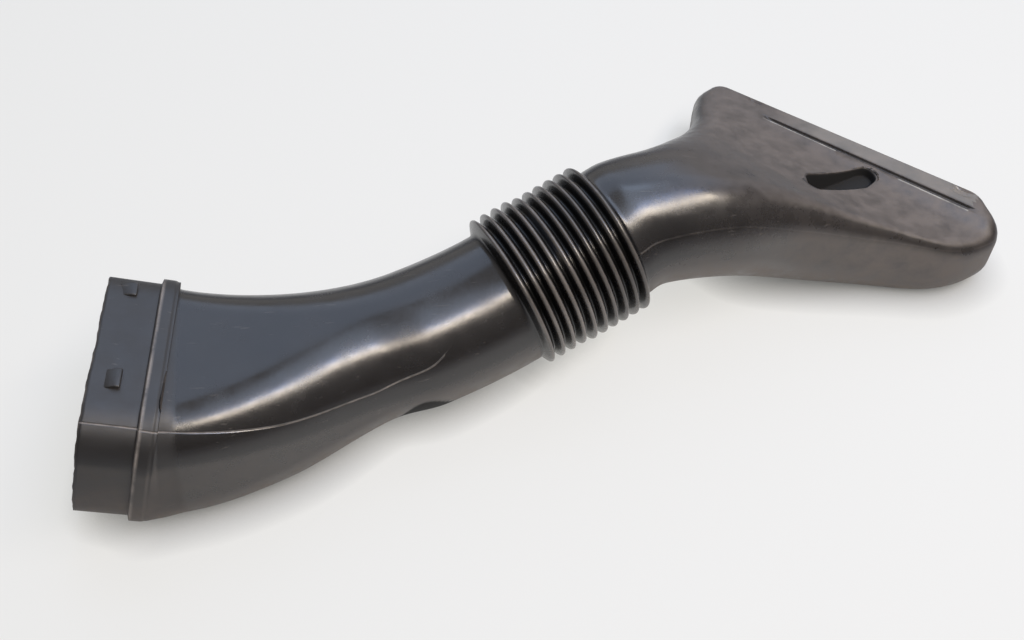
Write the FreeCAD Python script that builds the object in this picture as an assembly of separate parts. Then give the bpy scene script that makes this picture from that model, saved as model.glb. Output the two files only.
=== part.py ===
"""Air intake duct, blown in one piece: clip-in collar, swept neck, bellows and slanted scoop.

Millimetres, +Z up, lying on the floor on its collar rib and its scoop. +X runs from the
collar to the scoop, and the collar's axis lies over the X direction.
"""
import FreeCAD, Part
import math
import os

V = FreeCAD.Vector

# Wall
wall = 2.2
bellows_wall = 1.4

# Collar that pushes into the filter housing
collar_width = 109.0
collar_height = 77.0
collar_length = 26.0
collar_corner = 22.0
collar_tilt = 17.0
collar_end_x = -211.5
collar_end_y = -39.5
collar_end_z = 50.0

# Stop rib behind the collar
rib_width = 8.0
rib_rise = 2.6
rib_edge = 1.0

# Snap barbs on the collar's broad walls
barb_length = 10.0
barb_width = 12.0
barb_rise = 2.8
barb_land = 3.0
barb_setback = 5.5
barb_near_offset = -19.5
barb_far_offset = 36.0

# Neck from the rib to the bellows
neck_width = 107.0
neck_height = 77.0
neck_corner = 22.0
neck_start_pull = 30.0
neck_end_pull = 50.0
neck_waypoint_x = -100.0
neck_waypoint_y = -31.5
neck_waypoint_z = 41.0
neck_round_from = 0.74
neck_dent = 9.0
neck_dent_start = 0.36
neck_dent_deepest = 0.62
neck_dent_end = 0.75

# Round tube and bellows
tube_diameter = 74.0
valley_inset = 0.05
ridge_height = 5.8
ridge_count = 10
ridge_pitch = 6.5
ridge_crest = 1.3
bellows_x = -2.0
bellows_y = 10.5
bellows_z = 47.5
bellows_heading = 24.5
bellows_rise = 13.0
joint_overlap = 0.9

# Scoop with its slanted mouth
mouth_width = 190.0
mouth_height = 40.0
mouth_heading = 50.0
mouth_x = 215.0
mouth_y = 130.5
mouth_corner = 14.0
throat_length = 14.0

# Lip groove along the mouth
groove_length = 134.0
groove_width = 2.0
groove_depth = 1.2
groove_setback = 15.0
groove_shift = -19.0

# Pocket pressed into the scoop's roof
pocket_length = 53.0
pocket_width = 16.4
pocket_heel = 4.0
pocket_toe = 11.0
pocket_corner = 3.0
pocket_heading = 23.0
pocket_x = 197.3
pocket_y = 85.4
pocket_floor = 36.0
pocket_cut = 40.0

# Pull of a Bezier quarter circle, flat left on the round tube, bands in each loft,
# and how far a bore runs past an open end
round_pull = 0.5523
tube_flat = 1.0
outer_band_count = 14
bore_band_count = 14
end_run = 6.0


def direction(heading, rise):
    """Unit vector from a heading about Z and a rise above the floor, both in degrees."""
    h = math.radians(heading)
    r = math.radians(rise)
    return V(math.cos(r) * math.cos(h), math.cos(r) * math.sin(h), math.sin(r))


def frame(along):
    """Unit vectors across (level, to the far side) and up, square to a direction."""
    across = V(-along.y, along.x, 0).normalize()
    return across, along.cross(across)


def quarter(start, corner, stop):
    """Quarter circle between two tangent points, as one Bezier curve drawn toward their corner."""
    curve = Part.BezierCurve()
    curve.setPoles([start, start + (corner - start) * round_pull, stop + (corner - stop) * round_pull, stop])
    return curve.toShape()


def section(centre, along, near, far, top, bottom, corners):
    """Closed wire square to a direction: four flats, and round corners from the far top over the near side.

    The top is given at the far and at the near side, so that a roof can slope across.
    """
    across, up = frame(along)
    reach = [(far, top[0]), (-near, top[1]), (-near, -bottom), (far, -bottom)]
    tips = [centre + across * x + up * z for x, z in reach]
    turns = []
    for i, radius in enumerate(corners):
        back = (tips[i - 1] - tips[i]).normalize()
        ahead = (tips[(i + 1) % 4] - tips[i]).normalize()
        turns.append((tips[i] + back * radius, tips[i], tips[i] + ahead * radius))
    edges = []
    for first, second in zip(turns, turns[1:] + turns[:1]):
        edges.append(quarter(*first))
        edges.append(Part.makeLine(first[2], second[0]))
    return Part.Wire(edges)


def ease(x):
    """Smooth step from 0 to 1."""
    x = min(1.0, max(0.0, x))
    return x * x * (3 - 2 * x)


def between(rows, at):
    """Row at a distance, on a smooth curve through rows that start with their distance."""
    last = len(rows) - 1
    i = max(k for k in range(last) if rows[k][0] <= at)
    run = rows[i + 1][0] - rows[i][0]
    x = (at - rows[i][0]) / run
    values = []
    for a, b, c, d in zip(rows[max(i - 1, 0)], rows[i], rows[i + 1], rows[min(i + 2, last)]):
        leave = (c - a) / (rows[i + 1][0] - rows[max(i - 1, 0)][0])
        arrive = (d - b) / (rows[min(i + 2, last)][0] - rows[i][0])
        bend = (1 - x) * (leave * run - c + b) - x * (arrive * run - c + b)
        values.append(b + (c - b) * x + x * (1 - x) * bend)
    return values


# Directions and places that the pieces share
collar_axis = direction(0, -collar_tilt)
collar_end = V(collar_end_x, collar_end_y, collar_end_z)
bellows_axis = direction(bellows_heading, bellows_rise)
bellows_start = V(bellows_x, bellows_y, bellows_z)
bellows_length = ridge_count * ridge_pitch
valley_radius = tube_diameter / 2 - valley_inset
crest_radius = valley_radius + ridge_height
bellows_end = bellows_start + bellows_axis * bellows_length
rib_start = collar_end + collar_axis * collar_length
neck_start = rib_start + collar_axis * (rib_width / 2)
mouth_axis = direction(mouth_heading, 0)
mouth_across = V(-mouth_axis.y, mouth_axis.x, 0)
mouth_floor = V(mouth_x, mouth_y, 0)


def collar_section(distance, grow):
    """Collar outline at a distance from its cut end, grown or shrunk on every side."""
    half_w = collar_width / 2 + grow
    half_h = collar_height / 2 + grow
    place = collar_end + collar_axis * distance
    corner = collar_corner + grow
    return section(place, collar_axis, half_w, half_w, (half_h, half_h), half_h, [corner] * 4)


def collar(inset):
    """Collar from its cut end to the middle of the rib, or its bore where inset is the wall."""
    start = -end_run if inset else 0.0
    stop = collar_length + rib_width / 2 + (joint_overlap if inset else 0.0)
    return Part.makeLoft([collar_section(start, -inset), collar_section(stop, -inset)], True, True)


def rib(inset):
    """Raised stop rib with sloped edges; the blown wall follows it inside."""
    edge = inset + rib_edge
    rows = [(inset, -inset), (edge, rib_rise - inset)]
    rows += [(rib_width - edge, rib_rise - inset), (rib_width - inset, -inset)]
    return Part.makeLoft([collar_section(collar_length + d, g) for d, g in rows], True, True)


def barb(offset, side):
    """Wedge on a broad wall: it ramps up from the cut end and stops square."""
    across, up = frame(collar_axis)
    seat = collar_height / 2 - wall / 2
    top = collar_height / 2 + barb_rise
    base = collar_end + collar_axis * barb_setback + across * (offset - barb_width / 2)
    ramp = [(0, seat), (barb_length, seat), (barb_length, top), (barb_length - barb_land, top)]
    points = [base + collar_axis * a + up * (side * h) for a, h in ramp]
    face = Part.Face(Part.makePolygon(points + points[:1]))
    return face.extrude(across * barb_width)


def neck_place(t):
    """Point and direction on the neck's centreline, a five-point Bezier curve."""
    stop = bellows_start + bellows_axis * joint_overlap
    control = [neck_start, neck_start + collar_axis * neck_start_pull,
               V(neck_waypoint_x, neck_waypoint_y, neck_waypoint_z),
               stop - bellows_axis * neck_end_pull, stop]
    curve = Part.BezierCurve()
    curve.setPoles(control)
    along = curve.tangent(t)[0]
    return curve.value(t), along


def neck_section(t, inset):
    """Neck outline: a rounded box that turns into the round tube, dented underneath."""
    share = ease(t / neck_round_from)
    radius = tube_diameter / 2
    half_w = neck_width / 2 + (radius - neck_width / 2) * share
    half_h = neck_height / 2 + (radius - neck_height / 2) * share
    corner = neck_corner + (radius - tube_flat / 2 - neck_corner) * share
    rising = ease((t - neck_dent_start) / (neck_dent_deepest - neck_dent_start))
    falling = ease((t - neck_dent_deepest) / (neck_dent_end - neck_dent_deepest))
    dent = neck_dent * rising * (1 - falling)
    near = half_w - 0.3 * dent
    place, along = neck_place(t)
    corner = corner - inset
    top = half_h - inset
    return section(place, along, near - inset, half_w - inset, (top, top), top - dent,
                   [corner, corner, corner - dent, corner - dent])


def neck(inset):
    """Neck solid in narrow bands, or its bore where inset is the wall."""
    bands = bore_band_count if inset else outer_band_count
    return Part.makeLoft([neck_section(i / bands, inset) for i in range(bands + 1)], True, True)


def bellows_solid(points):
    """Body of revolution on the bellows axis from (distance, radius) points."""
    outline = [V(r, 0, d) for d, r in points]
    outline = [V(0, 0, points[0][0])] + outline + [V(0, 0, points[-1][0])]
    face = Part.Face(Part.makePolygon(outline + outline[:1]))
    body = face.revolve(V(0, 0, 0), V(0, 0, 1), 360)
    body.Placement = FreeCAD.Placement(bellows_start, FreeCAD.Rotation(V(0, 0, 1), bellows_axis))
    return body


def bellows():
    """Outer convolutions: straight flanks with a narrow flat crest."""
    points = [(0.0, valley_radius)]
    for i in range(ridge_count):
        middle = (i + 0.5) * ridge_pitch
        points += [(middle - ridge_crest / 2, crest_radius), (middle + ridge_crest / 2, crest_radius)]
        points += [((i + 1) * ridge_pitch, valley_radius)]
    return bellows_solid(points)


def bellows_bore():
    """Inside of the convolutions, one wall in from the crests' flanks and from the valleys."""
    valley = valley_radius - bellows_wall
    slope = ridge_height / ((ridge_pitch - ridge_crest) / 2)
    peak = valley_radius + slope * (ridge_pitch / 2 - bellows_wall * math.hypot(1, 1 / slope))
    points = [(0.0, valley)]
    for i in range(ridge_count):
        points += [((i + 0.5) * ridge_pitch, peak), ((i + 1) * ridge_pitch, valley)]
    return bellows_solid(points)


def scoop_rows():
    """Sections from the bellows to the mouth: distance, place, heading, rise, half sizes, corners and slope."""
    half = mouth_width / 2
    turn = mouth_heading - bellows_heading
    radius = tube_diameter / 2
    round_corner = radius - tube_flat / 2
    rows = []
    for distance in (-joint_overlap, throat_length):
        place = bellows_end + bellows_axis * distance
        rows.append([distance, place.x, place.y, place.z, bellows_heading, bellows_rise, radius, radius,
                     round_corner, round_corner, 0.0])
    # Distance from the bellows, setback from the mouth, reach to the near and the far side along the mouth,
    # floor, roof, corner, corner of the near shoulder, fall of the roof to it, share of the turn to go, and rise
    plan = [(40.0, 134.0, 4.0, 80.0, 24.0, 98.0, 35.0, 34.0, 0.0, 0.5, 5.0),
            (68.0, 105.0, 24.0, 77.5, 11.5, 85.0, 31.0, 25.0, 4.0, 0.2, 0.0),
            (95.0, 77.0, 57.0, 77.5, 2.5, 71.5, 25.0, 14.0, 14.0, 0.0, 0.0),
            (120.0, 52.0, 91.0, 81.5, 0.0, 59.0, 19.5, 9.5, 16.0, 0.0, 0.0),
            (143.0, 29.0, half + 9.5, half - 3.0, 0.0, mouth_height + 9.0, 16.0, 9.0, 11.0, 0.0, 0.0),
            (157.0, 15.0, half + 8.5, half + 2.0, 0.0, mouth_height + 4.0, mouth_corner, 11.0, 3.5, 0.0, 0.0),
            (172.0, 0.0, half - 3.0, half + 2.0, 0.0, mouth_height, mouth_corner, mouth_corner, 0.0, 0.0, 0.0)]
    for distance, setback, near, far, floor, roof, corner, shoulder, fall, share, rise in plan:
        place = mouth_floor - mouth_axis * setback + mouth_across * ((far - near) / 2)
        rows.append([distance, place.x, place.y, (floor + roof) / 2, mouth_heading - share * turn, rise,
                     (near + far) / 2, (roof - floor) / 2, corner, shoulder, fall])
    return rows


def scoop_section(row, inset):
    """Scoop outline from one row."""
    half_w = row[6] - inset
    half_h = row[7] - inset
    corner = row[8] - inset
    place = V(row[1], row[2], row[3])
    return section(place, direction(row[4], row[5]), half_w, half_w, (half_h, half_h - row[10]), half_h,
                   [corner, row[9] - inset, corner, corner])


def scoop(inset):
    """Scoop from the bellows to the mouth: round, then flat and flared to the near side."""
    rows = scoop_rows()
    bands = bore_band_count if inset else outer_band_count
    first = rows[0][0]
    run = rows[-1][0] - first
    wires = [scoop_section(between(rows, first + run * i / bands), inset) for i in range(bands)]
    wires.append(scoop_section(rows[-1], inset))
    solid = Part.makeLoft(wires, True, True)
    if inset:
        solid = solid.fuse(Part.Face(wires[-1]).extrude(mouth_axis * end_run))
    return solid


def roof_height(setback, reach):
    """Height of the scoop's roof at a setback behind the mouth and a reach along it."""
    rows = scoop_rows()
    row = between(rows, rows[-1][0] - setback)
    middle = (V(row[1], row[2], 0) - mouth_floor).dot(mouth_across)
    share = (middle + row[6] - reach) / (2 * row[6])
    return row[3] + row[7] - row[10] * share


def groove():
    """Shallow groove that sets the lip off from the scoop's roof."""
    points = []
    for side in (-1, 1):
        reach = groove_shift + side * groove_length / 2
        place = mouth_floor + mouth_across * reach
        place.z = roof_height(groove_setback, reach) - groove_depth
        pair = [place - mouth_axis * (groove_setback + end * groove_width / 2) for end in (1, -1)]
        points += pair[::side]
    face = Part.Face(Part.makePolygon(points + points[:1]))
    return face.extrude(V(0, 0, 3 * groove_depth))


def pocket(grow):
    """Pocket with a leaning heel and a toe cut back on its near side, grown by the wall for its cup."""
    end = pocket_length / 2 - pocket_corner
    side = pocket_width / 2 - pocket_corner
    flat = [(-end, -side), (end - pocket_toe, -side), (end, 0), (end, side), (pocket_heel - end, side)]
    run = direction(pocket_heading, 0)
    across = frame(run)[0]
    centre = V(pocket_x, pocket_y, pocket_floor - grow)
    points = [centre + run * a + across * b for a, b in flat]
    wire = Part.makePolygon(points + points[:1]).makeOffset2D(pocket_corner + grow)
    return Part.Face(wire).extrude(V(0, 0, pocket_cut))


def intake_duct():
    """The whole duct as one hollow solid."""
    outside = collar(0).fuse([rib(0), neck(0), bellows(), scoop(0)])
    outside = outside.fuse([barb(o, side) for o in (barb_near_offset, barb_far_offset) for side in (1, -1)])
    outside = outside.cut([groove(), pocket(0)])
    bore = collar(wall).fuse([rib(wall), neck(wall), bellows_bore(), scoop(wall)])
    bore = bore.cut(pocket(wall))
    return outside.cut(bore)


duct = intake_duct()
box = duct.optimalBoundingBox(True, False)
duct.translate(V(-(box.XMin + box.XMax) / 2, -(box.YMin + box.YMax) / 2, -box.ZMin))
if len(duct.Solids) == 1:
    duct = duct.Solids[0]
os.makedirs("parts", exist_ok=True)
duct.exportStep("parts/intake_duct.step")
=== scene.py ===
"""Visual model of a blow-moulded air intake duct: collar, swept neck, bellows and slanted scoop."""

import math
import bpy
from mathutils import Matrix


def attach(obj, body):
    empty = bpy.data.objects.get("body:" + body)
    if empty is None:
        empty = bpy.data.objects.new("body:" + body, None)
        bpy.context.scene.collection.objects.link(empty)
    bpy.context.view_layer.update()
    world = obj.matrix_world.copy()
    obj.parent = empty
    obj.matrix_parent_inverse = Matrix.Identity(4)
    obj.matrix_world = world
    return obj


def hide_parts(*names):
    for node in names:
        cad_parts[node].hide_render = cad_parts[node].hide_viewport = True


bl_info = {
    "name": "Air intake duct",
    "version": (1, 0, 0),
    "blender": (4, 5, 0),
    "location": "View3D > Sidebar > Duct",
    "description": "Builds a worn black air intake duct with a bellows and a slanted scoop on a pale floor",
    "category": "Add Mesh",
}

import bpy
import numpy as np
from bpy.props import FloatProperty, FloatVectorProperty, IntProperty, PointerProperty, StringProperty
from mathutils import Vector

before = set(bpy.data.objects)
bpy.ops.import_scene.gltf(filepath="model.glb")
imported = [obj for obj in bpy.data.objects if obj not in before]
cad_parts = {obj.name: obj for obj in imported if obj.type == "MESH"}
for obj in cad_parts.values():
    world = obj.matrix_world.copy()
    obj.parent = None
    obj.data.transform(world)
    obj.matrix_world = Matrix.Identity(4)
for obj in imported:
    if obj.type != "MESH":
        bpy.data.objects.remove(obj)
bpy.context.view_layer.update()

# Millimetres. The duct is drawn from its collar to its mouth and then moved over the origin by this much.
ORIGIN = np.array([31.36, 48.125, -0.77])

# Directions
UP = np.array([0.0, 0.0, 1.0])


def heading(turn, rise):
    """Unit vector from a heading about Z and a rise above the floor, both in degrees; arrays go through."""
    turn = np.radians(np.asarray(turn, float))
    rise = np.radians(np.asarray(rise, float))
    return np.stack([np.cos(rise) * np.cos(turn), np.cos(rise) * np.sin(turn), np.sin(rise)], -1)


# Collar, rib and neck
COLLAR_WIDTH, COLLAR_HEIGHT, COLLAR_LENGTH, COLLAR_CORNER = 109.0, 77.0, 26.0, 22.0
COLLAR_END = np.array([-211.5, -39.5, 50.0])
COLLAR_AXIS = heading(0, -17)
RIB_WIDTH, RIB_RISE = 8.0, 2.6
NECK_WIDTH = 107.0
NECK_ROUND_FROM = 0.74
DENT_DEPTH, DENT_FROM, DENT_RISE, DENT_TO, DENT_FALL = 9.0, 0.36, 0.26, 0.62, 0.13
RIB_SLOPE_RISE, RIB_SLOPE_FROM, RIB_SLOPE_RUN = 2.1, 0.03, 0.085
# Offset along the broad wall, width and rise of each snap barb
BARBS = ((-19.5, 11.0, 2.3), (36.0, 8.5, 1.5))

# Round tube and bellows
TUBE_RADIUS, RIDGE_RADIUS, VALLEY_RADIUS = 37.0, 42.75, 36.95
RIDGE_COUNT, RIDGE_PITCH, RIDGE_CREST = 10, 6.5, 1.3
BELLOWS_START = np.array([-2.0, 10.5, 47.5])
BELLOWS_AXIS = heading(24.5, 13)
BELLOWS_LENGTH = RIDGE_COUNT * RIDGE_PITCH
BELLOWS_END = BELLOWS_START + BELLOWS_AXIS * BELLOWS_LENGTH

# Scoop, lip groove and pocket
MOUTH_WIDTH, MOUTH_HEIGHT, MOUTH_HEADING = 190.0, 40.0, 50.0
MOUTH_FLOOR = np.array([215.0, 130.5, 0.0])
MOUTH_AXIS = heading(MOUTH_HEADING, 0)
MOUTH_ACROSS = np.array([-MOUTH_AXIS[1], MOUTH_AXIS[0], 0.0])
SCOOP_LENGTH = 172.0
GROOVE_SETBACK, GROOVE_HALF_WIDTH, GROOVE_FROM, GROOVE_TO = 15.0, 2.0, -87.0, 49.0
# Reach along the lip and depth back from it of the two clip notches
LIP_NOTCHES = ((62.5, 4.0), (-75.5, 7.0))
POCKET_CENTRE = np.array([197.3, 85.4])
POCKET_LENGTH, POCKET_WIDTH, POCKET_FLOOR = 53.0, 16.4, 36.0
POCKET_AXIS = heading(23.0, 0)[:2]
POCKET_ACROSS = np.array([-POCKET_AXIS[1], POCKET_AXIS[0]])
POCKET_SQUEEZE, POCKET_ROUND = 2.4, 5.0

# Mould's parting line: station along the duct and share of the outline there
PARTING_LINE = ((0.0, 0.369), (30.0, 0.368), (48.0, 0.3625), (68.0, 0.350), (95.0, 0.327), (121.0, 0.3075),
                (131.0, 0.302), (143.0, 0.314), (151.0, 0.325), (157.0, 0.342), (165.0, 0.375),
                (270.0, 0.330), (296.0, 0.332), (308.0, 0.3275), (334.0, 0.3025), (380.0, 0.285),
                (442.0, 0.27))

# Metres
FLOOR_HALF_SIZE = 9.0

# Part of a corner's side that a Bezier handle takes for a quarter circle
QUARTER = 0.5523


class DuctSizes(bpy.types.PropertyGroup):
    """Sizes of the moulding that a user would change"""
    wall: FloatProperty(name="Wall", description="Thickness of the blown wall", default=0.0022, min=0.001,
                        max=0.004, unit="LENGTH")
    bellows_wall: FloatProperty(name="Bellows wall", description="Thickness of the wall in the convolutions",
                                default=0.0014, min=0.0008, max=0.003, unit="LENGTH")
    ragged: FloatProperty(name="Ragged edge", description="How far the collar's trimmed edge strays",
                          default=0.0008, min=0.0, max=0.004, unit="LENGTH")
    groove_depth: FloatProperty(name="Groove depth", description="Depth of the groove behind the mouth's lip",
                                default=0.0017, min=0.0, max=0.003, unit="LENGTH")
    flex: FloatProperty(name="Bellows set", description="Sideways set that the first ridges have taken",
                        default=0.0016, min=0.0, max=0.004, unit="LENGTH")
    columns: IntProperty(name="Columns", description="Points around each section", default=160, min=48,
                         max=240)


class DuctColours(bpy.types.PropertyGroup):
    """Colours of the plastic, its dirt, its painted shade and its painted highlight, as sRGB hex values"""
    plastic: StringProperty(name="Plastic", description="Carbon-black polyethylene", default="#191819")
    faded: StringProperty(name="Faded plastic", description="Plastic greyed by handling", default="#2E2B29")
    dust: StringProperty(name="Dust", description="Road dust on the faces that look up", default="#675E57")
    worn: StringProperty(name="Worn edge", description="Plastic rubbed pale on edges and seams",
                         default="#89817A")
    # Pale rubbing on the lip, and also the painted highlight on the groove's near edge
    chalk_and_highlight: StringProperty(name="Chalked edge", description="Pale rubbing on the groove and the lip",
                          default="#BDBBB2")
    # Painted shade: the dark laid in the bellows' valleys, the groove's floor, the pocket, the strip below
    # the dent's arch and on the inner skin
    painted_shade: StringProperty(name="Soot", description="Dirt in the valleys and corners", default="#0D0C0C")


class StageSettings(bpy.types.PropertyGroup):
    """Floor, lamps and camera"""
    floor: StringProperty(name="Floor", description="Colour of the pale floor", default="#EDEDEC")
    floor_glow: StringProperty(name="Floor glow", description="Light of the paper where the eye sees it",
                               default="#D2D1CD")
    floor_shade: StringProperty(name="Floor shade", description="Share of the light that shadows take",
                                default="#78797C")
    lens: FloatProperty(name="Lens", description="Focal length on a 36 mm sensor", default=40.43, min=10.0,
                        max=200.0)
    camera: FloatVectorProperty(name="Camera", description="Place of the camera", size=3, unit="LENGTH",
                                default=(-0.0588, -0.4399, 0.5088))
    target: FloatVectorProperty(name="Target", description="Point that the camera looks at", size=3,
                                unit="LENGTH", default=(-0.0314, -0.0481, 0.0408))


def linear(hex_colour):
    """sRGB hex text to a linear RGBA tuple: c/12.92 below 0.04045, otherwise ((c + 0.055)/1.055)^2.4."""
    text = hex_colour.lstrip("#")
    c = np.array([int(text[i:i + 2], 16) for i in (0, 2, 4)]) / 255.0
    c = np.where(c <= 0.04045, c / 12.92, ((c + 0.055) / 1.055) ** 2.4)
    return (float(c[0]), float(c[1]), float(c[2]), 1.0)


def add_node(tree, kind, settings=None, links=None):
    """One node: settings by attribute name or by input socket, and links from other nodes' output sockets."""
    node = tree.nodes.new(kind)
    for key, value in (settings or {}).items():
        if isinstance(key, int) or key in node.inputs:
            node.inputs[key].default_value = value
        else:
            setattr(node, key, value)
    for key, socket in (links or {}).items():
        tree.links.new(socket, node.inputs[key])
    return node


def smooth(x):
    """Smooth step 3x^2 - 2x^3 on x held between 0 and 1."""
    x = np.clip(x, 0.0, 1.0)
    return x * x * (3.0 - 2.0 * x)


def ripple(seed, x, waves):
    """Repeatable wavering: a sum of sines with fixed odd frequencies and phases drawn from the seed."""
    rng = np.random.default_rng(seed)
    total = np.zeros_like(x)
    for wave in waves:
        total = total + np.sin(x * wave * (0.85 + 0.3 * rng.random()) + 6.283 * rng.random())
    return total / len(waves)


def outline(near, far, top, near_top, bottom, corners, share):
    """Points on rounded boxes at shares of their outline.

    Each corner is a cubic Bezier curve, which is a quarter circle where the corner is square, and the flats
    join them. The share runs from the middle of the underside over the near side, the top and the far side,
    by lengths. Returns the reach across and the height.
    """
    rows = len(near)
    tips = np.stack([np.stack([-near, -bottom], 1), np.stack([-near, near_top], 1), np.stack([far, top], 1),
                     np.stack([far, -bottom], 1)], 1)
    back = np.roll(tips, 1, 1) - tips
    ahead = np.roll(tips, -1, 1) - tips
    radius = np.stack([np.broadcast_to(c, (rows,)) for c in corners], 1)[:, :, None]
    enter = tips + back / np.linalg.norm(back, axis=2, keepdims=True) * radius
    leave = tips + ahead / np.linalg.norm(ahead, axis=2, keepdims=True) * radius
    middle = (leave[:, 3] + enter[:, 0])[:, None] / 2
    ends = np.stack([middle[:, 0], enter[:, 0], leave[:, 0], enter[:, 1], leave[:, 1], enter[:, 2],
                     leave[:, 2], enter[:, 3], leave[:, 3], middle[:, 0]], 1)
    runs = np.linalg.norm(ends[:, 1:] - ends[:, :-1], axis=2)
    runs[:, 1::2] *= math.pi / 2 / math.sqrt(2)
    sums = np.concatenate([np.zeros((rows, 1)), np.cumsum(runs, 1)], 1)
    s = share[None, :] * sums[:, -1:]
    leg = np.sum(s[:, :, None] >= sums[:, None, 1:-1], 2)
    f = (s - np.take_along_axis(sums, leg, 1)) / np.maximum(np.take_along_axis(runs, leg, 1), 1e-9)
    f = f[:, :, None]
    a = np.take_along_axis(ends, leg[:, :, None], 1)
    b = np.take_along_axis(ends, leg[:, :, None] + 1, 1)
    tip = np.take_along_axis(tips, np.clip((leg[:, :, None] - 1) // 2, 0, 3), 1)
    g = 1 - f
    leaving = a + (tip - a) * QUARTER
    arriving = b + (tip - b) * QUARTER
    curved = a * g ** 3 + 3 * leaving * g * g * f + 3 * arriving * g * f * f + b * f ** 3
    points = np.where((leg % 2 == 1)[:, :, None], curved, a * g + b * f)
    return points[:, :, 0], points[:, :, 1]


def place(centre, along, x, y):
    """Section points in space: centre plus x times the level direction across plus y times the one upward."""
    across = np.cross(UP, along)
    across = across / np.linalg.norm(across, axis=1, keepdims=True)
    up = np.cross(along, across)
    return centre[:, None] + x[:, :, None] * across[:, None] + y[:, :, None] * up[:, None]


def hermite(rows, at):
    """Smooth curve through rows that start with their distance.

    A cubic whose slope at each row is the chord slope of its two neighbours.
    """
    rows = np.asarray(rows, float)
    d = rows[:, 0]
    i = np.clip(np.searchsorted(d, at, "right") - 1, 0, len(d) - 2)
    before, after = np.maximum(i - 1, 0), np.minimum(i + 2, len(d) - 1)
    run = (d[i + 1] - d[i])[:, None]
    x = ((at - d[i]) / (d[i + 1] - d[i]))[:, None]
    a, b, c, e = rows[before], rows[i], rows[i + 1], rows[after]
    leave = (c - a) / (d[i + 1] - d[before])[:, None]
    arrive = (e - b) / (d[after] - d[i])[:, None]
    bend = (1 - x) * (leave * run - c + b) - x * (arrive * run - c + b)
    return b + (c - b) * x + x * (1 - x) * bend


def collar_part(distance, inset, share):
    """Collar and stop rib: the collar's rounded box, grown over the rib by two smooth steps."""
    start, stop = COLLAR_LENGTH, COLLAR_LENGTH + RIB_WIDTH
    lift = RIB_RISE * smooth((distance - start - inset * 0.5 + 0.2) / 0.9)
    lift = lift * (1 - (0.2 if inset == 0 else 1.0) * smooth((distance - stop + 1.7 + inset * 0.5) / 1.9))
    grow = lift - inset
    half_w, half_h = COLLAR_WIDTH / 2 + grow, COLLAR_HEIGHT / 2 + grow
    centre = COLLAR_END + COLLAR_AXIS * distance[:, None]
    along = np.broadcast_to(COLLAR_AXIS, centre.shape)
    corner = COLLAR_CORNER + grow
    x, y = outline(half_w, half_w, half_h, half_h, half_h, [corner] * 4, share)
    return place(centre, along, x, y)


def neck_part(t, inset, share):
    """Neck: a rounded box along a five-point Bezier curve that eases into the round tube.

    A dent lifts the lower wall and draws the near side in between the middle and the bellows.
    """
    start = COLLAR_END + COLLAR_AXIS * (COLLAR_LENGTH + RIB_WIDTH / 2)
    stop = BELLOWS_START + BELLOWS_AXIS * 0.2
    poles = np.array([start, start + COLLAR_AXIS * 30.0, (-100.0, -31.5, 41.0), stop - BELLOWS_AXIS * 50.0,
                      stop])
    weights = np.stack([math.comb(4, k) * t ** k * (1 - t) ** (4 - k) for k in range(5)], 1)
    slopes = np.stack([math.comb(3, k) * t ** k * (1 - t) ** (3 - k) for k in range(4)], 1)
    centre = weights @ poles
    along = slopes @ (poles[1:] - poles[:-1])
    along = along / np.linalg.norm(along, axis=1, keepdims=True)
    part = smooth(t / NECK_ROUND_FROM)
    half_w = NECK_WIDTH / 2 + (TUBE_RADIUS - NECK_WIDTH / 2) * part
    half_h = COLLAR_HEIGHT / 2 + (TUBE_RADIUS - COLLAR_HEIGHT / 2) * part
    corner = COLLAR_CORNER + (TUBE_RADIUS - 0.5 - COLLAR_CORNER) * part
    dent = DENT_DEPTH * smooth((t - DENT_FROM) / DENT_RISE) * (1 - smooth((t - DENT_TO) / DENT_FALL))
    # The rib's back slopes down onto the neck, outside only
    skirt = RIB_SLOPE_RISE * (1 - smooth((t - RIB_SLOPE_FROM) / RIB_SLOPE_RUN)) if inset == 0 else 0.0
    grow = skirt - inset
    corner = corner + grow
    top = half_h + grow
    x, y = outline(half_w - 0.3 * dent + grow, half_w + grow, top, top, top - dent,
                   [corner - dent, corner, corner, corner - dent], share)
    # The far half of the lower wall keeps its full depth, so the dent is an arch on the near side
    y = y - dent[:, None] * smooth((x + 6.0) / 16.0) * smooth((-y - 6.0) / 14.0)
    return place(centre, along, x, y)


def bellows_radius(d, inset):
    """Convolutions: straight flanks from crest to valley, rounded by a smooth minimum and maximum."""
    from_crest = np.abs((d / RIDGE_PITCH) % 1.0 - 0.5) * RIDGE_PITCH
    slope = (RIDGE_RADIUS - VALLEY_RADIUS) / ((RIDGE_PITCH - RIDGE_CREST) / 2)
    flank = RIDGE_RADIUS + 0.2 - slope * (from_crest - RIDGE_CREST / 2) - inset * math.hypot(1, slope)
    crest = RIDGE_RADIUS + 0.16 - inset
    valley = VALLEY_RADIUS - 0.16 - inset
    low = 0.5 * (flank + crest - np.sqrt((flank - crest) ** 2 + 0.45))
    return 0.5 * (low + valley + np.sqrt((low - valley) ** 2 + 0.5))


def bellows_part(d, inset, flex, share):
    """Bellows: circles along its axis.

    The first ridges sit a little high, as in a bellows that has taken a set.
    """
    radius = bellows_radius(d, inset)
    shift = flex * smooth((d + 1.5) / 3.0) * (1 - smooth((d - 4 * RIDGE_PITCH - 0.4) / 2.4))
    up = np.cross(BELLOWS_AXIS, np.cross(UP, BELLOWS_AXIS) / np.linalg.norm(np.cross(UP, BELLOWS_AXIS)))
    centre = BELLOWS_START + BELLOWS_AXIS * d[:, None] + up * shift[:, None]
    along = np.broadcast_to(BELLOWS_AXIS, centre.shape)
    x, y = outline(radius, radius, radius, radius, radius, [radius - 0.5] * 4, share)
    return place(centre, along, x, y)


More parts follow.
